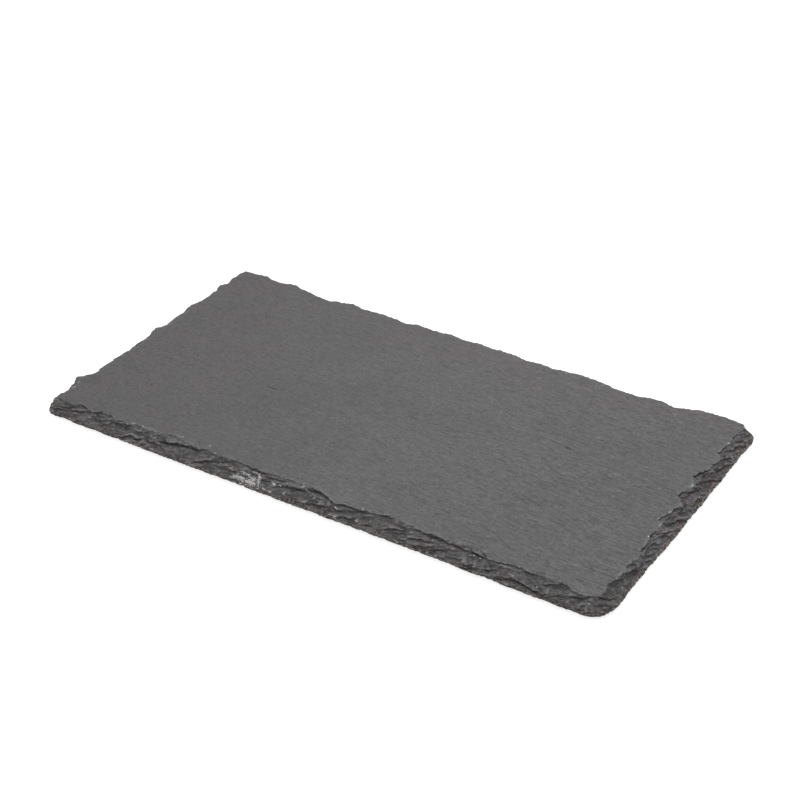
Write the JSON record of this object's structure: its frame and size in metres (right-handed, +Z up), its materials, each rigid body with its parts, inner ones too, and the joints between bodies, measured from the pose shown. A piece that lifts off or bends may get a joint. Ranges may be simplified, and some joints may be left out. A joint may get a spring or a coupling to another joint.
{
  "type": "slate serving board",
  "caption": "Flat rectangular slate serving board with a chisel-dressed edge all round, standing on small round stick-on rubber feet.",
  "frame": {"origin": "under the middle of the board, at the level its feet stand on", "axes": "+X along the board to the right, +Y from the front edge to the back edge, +Z up out of the serving face"},
  "size_m": [0.325, 0.176, 0.009],
  "materials": {
    "slate": "matte, natural riven stone",
    "foot_rubber": "matte moulded rubber",
    "tape": "dull foam tape"
  },
  "bodies": {
    "root": {"slate_slab": "slate", "foot_front_left": "foot_rubber", "foot_front_right": "foot_rubber", "foot_back_left": "foot_rubber", "foot_back_right": "foot_rubber", "tape_front_left": "tape", "tape_front_right": "tape", "tape_back_left": "tape", "tape_back_right": "tape"}
  },
  "joints": []
}
